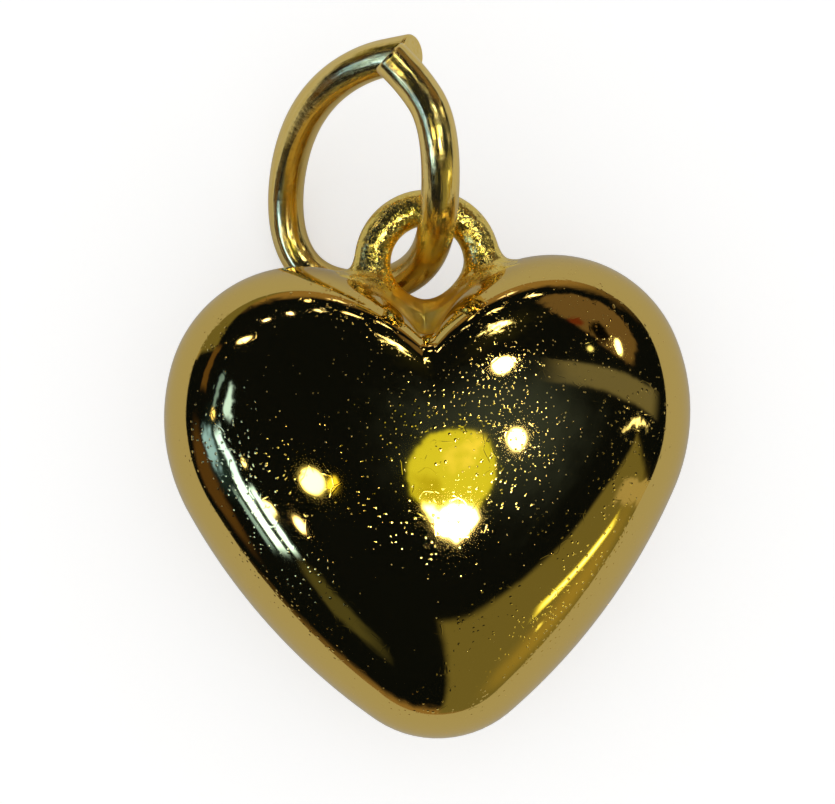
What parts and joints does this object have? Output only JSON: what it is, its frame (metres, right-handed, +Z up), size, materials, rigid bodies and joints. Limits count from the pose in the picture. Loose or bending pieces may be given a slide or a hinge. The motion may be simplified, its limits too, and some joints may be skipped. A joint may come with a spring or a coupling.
{
  "type": "puffy heart pendant",
  "caption": "Puffy heart pendant of polished gold-plated brass, with a cast eye in its cleft and a split jump ring that hangs it from a chain or clasp.",
  "frame": {"origin": "on the table, under the middle of the pendant's bounding box as it lies", "axes": "+Z up, out of the face of the heart; +Y from the tip of the heart to the jump ring; +X to the viewer's right"},
  "size_m": [0.016, 0.0212, 0.0077],
  "materials": {
    "heart_plating": "mirror-polished gold plating over cast brass",
    "ring_plating": "bright gold plating over drawn brass wire"
  },
  "bodies": {
    "pendant": {"heart": "heart_plating"},
    "ring": {"jump_ring": "ring_plating"}
  },
  "joints": [
    {"name": "ring_swing", "type": "hinge", "parent": "pendant", "child": "ring", "pos_m": [0.00023, 0.00568, 0.00415], "axis": [0.8817, -0.4507, -0.1397], "range_deg": [0, 72]}
  ]
}
